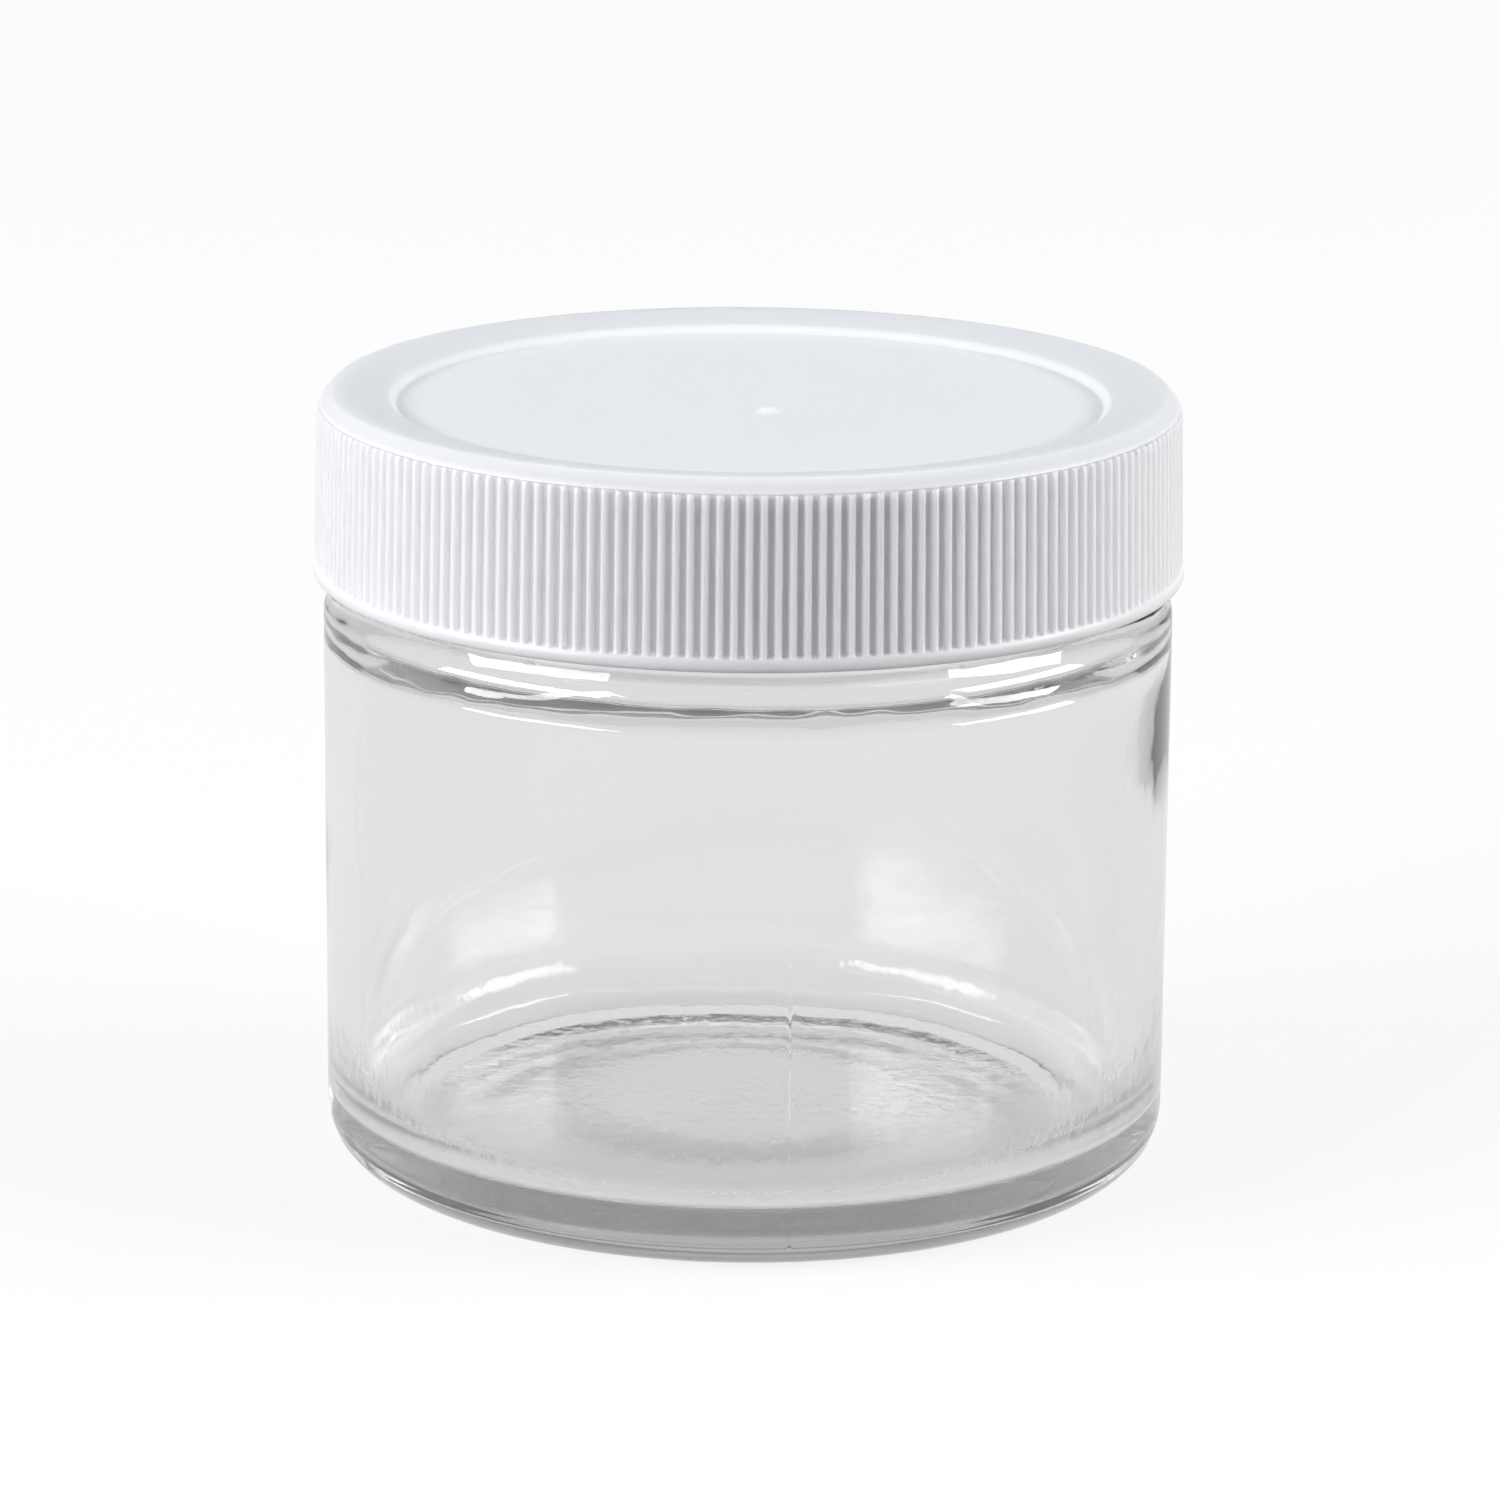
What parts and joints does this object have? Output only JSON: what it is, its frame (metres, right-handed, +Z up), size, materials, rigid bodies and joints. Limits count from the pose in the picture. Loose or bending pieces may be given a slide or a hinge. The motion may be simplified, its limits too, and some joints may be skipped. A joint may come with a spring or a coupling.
{
  "type": "wide-mouth glass jar with screw cap",
  "caption": "Short straight-sided clear glass jar with a wide threaded mouth, closed by a ribbed white screw cap with a liner.",
  "frame": {"origin": "on the jar's axis, at the height of the surface it stands on", "axes": "+Z up along the jar's axis, -Y towards the viewer of the picture"},
  "size_m": [0.0556, 0.0556, 0.0503],
  "materials": {
    "clear_glass": "clear flint glass, glossy, faint green-grey tint where it is thick",
    "white_plastic": "satin white polypropylene, fine matte grain on the recessed top",
    "liner_foam": "matte white foamed polyethylene sheet"
  },
  "bodies": {
    "jar": {"glass_jar": "clear_glass"},
    "liner": {"cap_liner": "liner_foam"},
    "cap": {"screw_cap": "white_plastic"}
  },
  "joints": [
    {"name": "cap_lift", "type": "slide", "parent": "jar", "child": "liner", "axis": [0, 0, 1], "range_m": [0, 0.0128]},
    {"name": "cap_turn", "type": "hinge", "parent": "liner", "child": "cap", "pos_m": [0, 0, 0.0385], "axis": [0, 0, 1], "range_deg": [0, 1080]}
  ],
  "couplings": [
    {"joint": "cap_lift", "follows": "cap_turn", "m_per_rad": 0.00067376}
  ]
}
